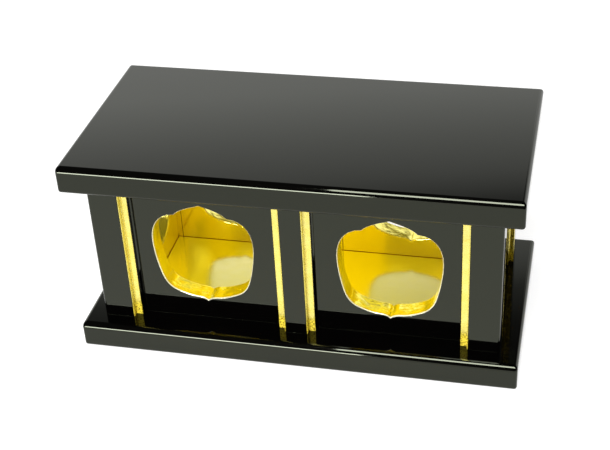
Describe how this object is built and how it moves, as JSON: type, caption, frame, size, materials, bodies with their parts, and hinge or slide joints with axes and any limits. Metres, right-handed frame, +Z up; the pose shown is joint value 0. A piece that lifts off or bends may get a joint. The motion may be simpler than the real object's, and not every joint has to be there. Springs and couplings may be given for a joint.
{
  "type": "altar stand",
  "caption": "Black-lacquered altar stand: a low open cabinet with gilt-edged posts and cusped windows between two rounded boards, to set an altar object on.",
  "frame": {"origin": "centre of the base board's underside", "axes": "+X along the stand to the right, +Y to the back, +Z up"},
  "size_m": [0.3, 0.15, 0.1444],
  "materials": {
    "black_lacquer": "polished black lacquer over wood",
    "gilt": "satin gilding",
    "bare_wood": "planed, unfinished"
  },
  "bodies": {
    "root": {"base_board": "black_lacquer", "top_board": "black_lacquer", "post_front_left": "black_lacquer", "post_front_right": "black_lacquer", "post_front_centre": "black_lacquer", "post_back_left": "black_lacquer", "post_back_right": "black_lacquer", "post_back_centre": "black_lacquer", "panel_front_left": "black_lacquer", "panel_front_right": "black_lacquer", "panel_back_left": "black_lacquer", "panel_back_right": "black_lacquer", "panel_left": "black_lacquer", "panel_right": "black_lacquer", "fillet_front_left_outer": "gilt", "fillet_front_left_inner": "gilt", "fillet_front_right_outer": "gilt", "fillet_front_right_inner": "gilt", "fillet_back_left_outer": "gilt", "fillet_back_left_inner": "gilt", "fillet_back_right_outer": "gilt", "fillet_back_right_inner": "gilt", "fillet_left_front": "gilt", "fillet_left_back": "gilt", "fillet_right_front": "gilt", "fillet_right_back": "gilt", "floor_lining": "gilt", "ceiling_lining": "gilt", "dowel_front_left_foot": "bare_wood", "dowel_front_left_head": "bare_wood", "dowel_front_right_foot": "bare_wood", "dowel_front_right_head": "bare_wood", "dowel_front_centre_foot": "bare_wood", "dowel_front_centre_head": "bare_wood", "dowel_back_left_foot": "bare_wood", "dowel_back_left_head": "bare_wood", "dowel_back_right_foot": "bare_wood", "dowel_back_right_head": "bare_wood", "dowel_back_centre_foot": "bare_wood", "dowel_back_centre_head": "bare_wood"}
  },
  "joints": []
}
